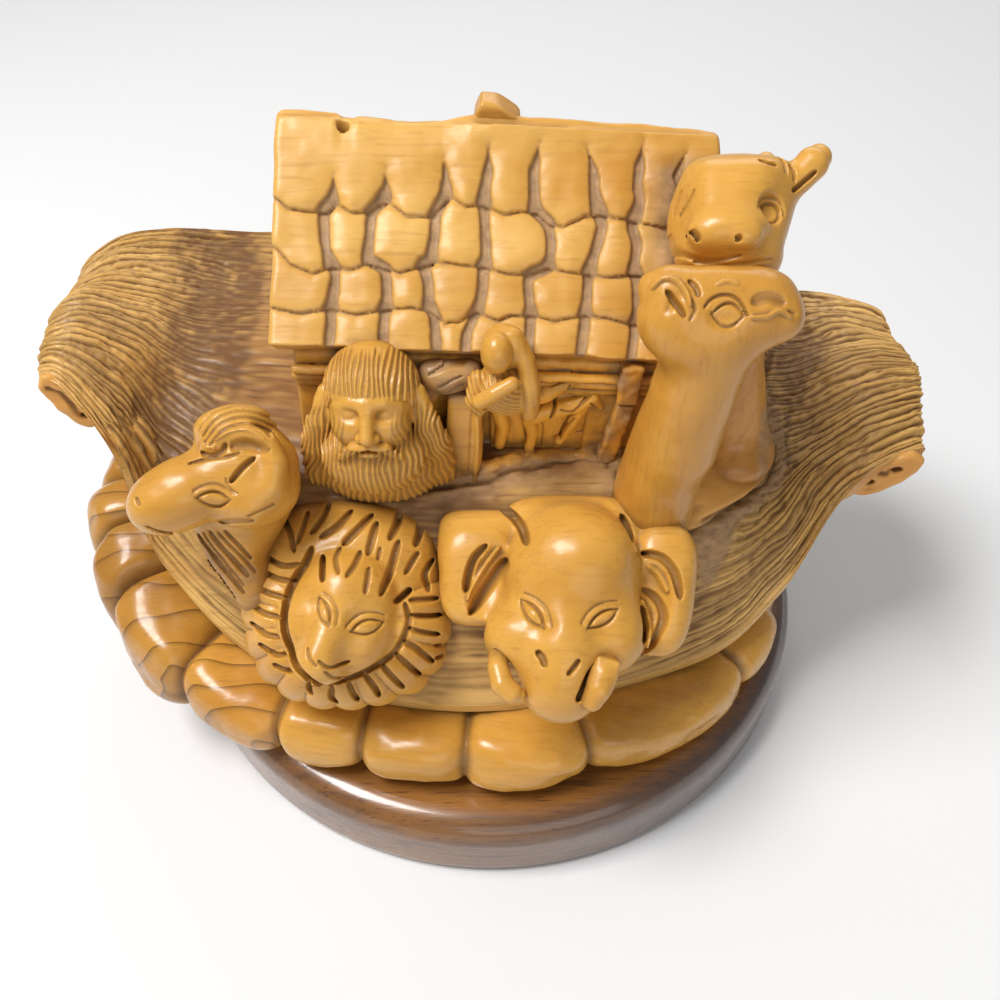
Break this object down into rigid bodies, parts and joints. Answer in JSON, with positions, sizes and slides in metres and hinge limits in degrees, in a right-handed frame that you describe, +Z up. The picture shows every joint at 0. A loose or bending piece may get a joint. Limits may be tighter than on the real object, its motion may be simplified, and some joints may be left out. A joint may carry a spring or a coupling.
{
  "type": "carved noahs ark",
  "caption": "Hand-carved olive-wood ark with a shingled house, animal heads and a bearded figure, set in a ring of boulders on a round turned base.",
  "frame": {"origin": "centre of the turned base's underside", "axes": "+X along the boat towards its right end, +Y away from the viewer, +Z up through the base"},
  "size_m": [0.2185, 0.178, 0.1588],
  "materials": {
    "honey_wood": "oiled and polished",
    "amber_wood": "oiled, strong grain",
    "reed_wood": "matt, carved, dark in the grooves",
    "walnut_wood": "gloss varnish",
    "screw_steel": "zinc"
  },
  "bodies": {
    "root": {"turned_base": "walnut_wood", "base_screws": "screw_steel", "boulders_left": "amber_wood", "boulders_front": "honey_wood", "boulders_rear": "honey_wood", "hull": "reed_wood", "house_dowels": "amber_wood", "house_walls": "amber_wood", "roof": "honey_wood", "ridge_knob": "honey_wood", "door_jamb": "honey_wood", "wall_relief": "amber_wood", "corner_bracket": "honey_wood", "bearded_bust": "honey_wood", "robed_woman": "honey_wood", "donkey_head": "honey_wood", "lion_head": "honey_wood", "elephant_head": "honey_wood", "elephant_tusks": "honey_wood", "giraffe_neck": "honey_wood", "giraffe_head": "honey_wood", "calf_neck": "amber_wood", "calf_head": "honey_wood"}
  },
  "joints": []
}
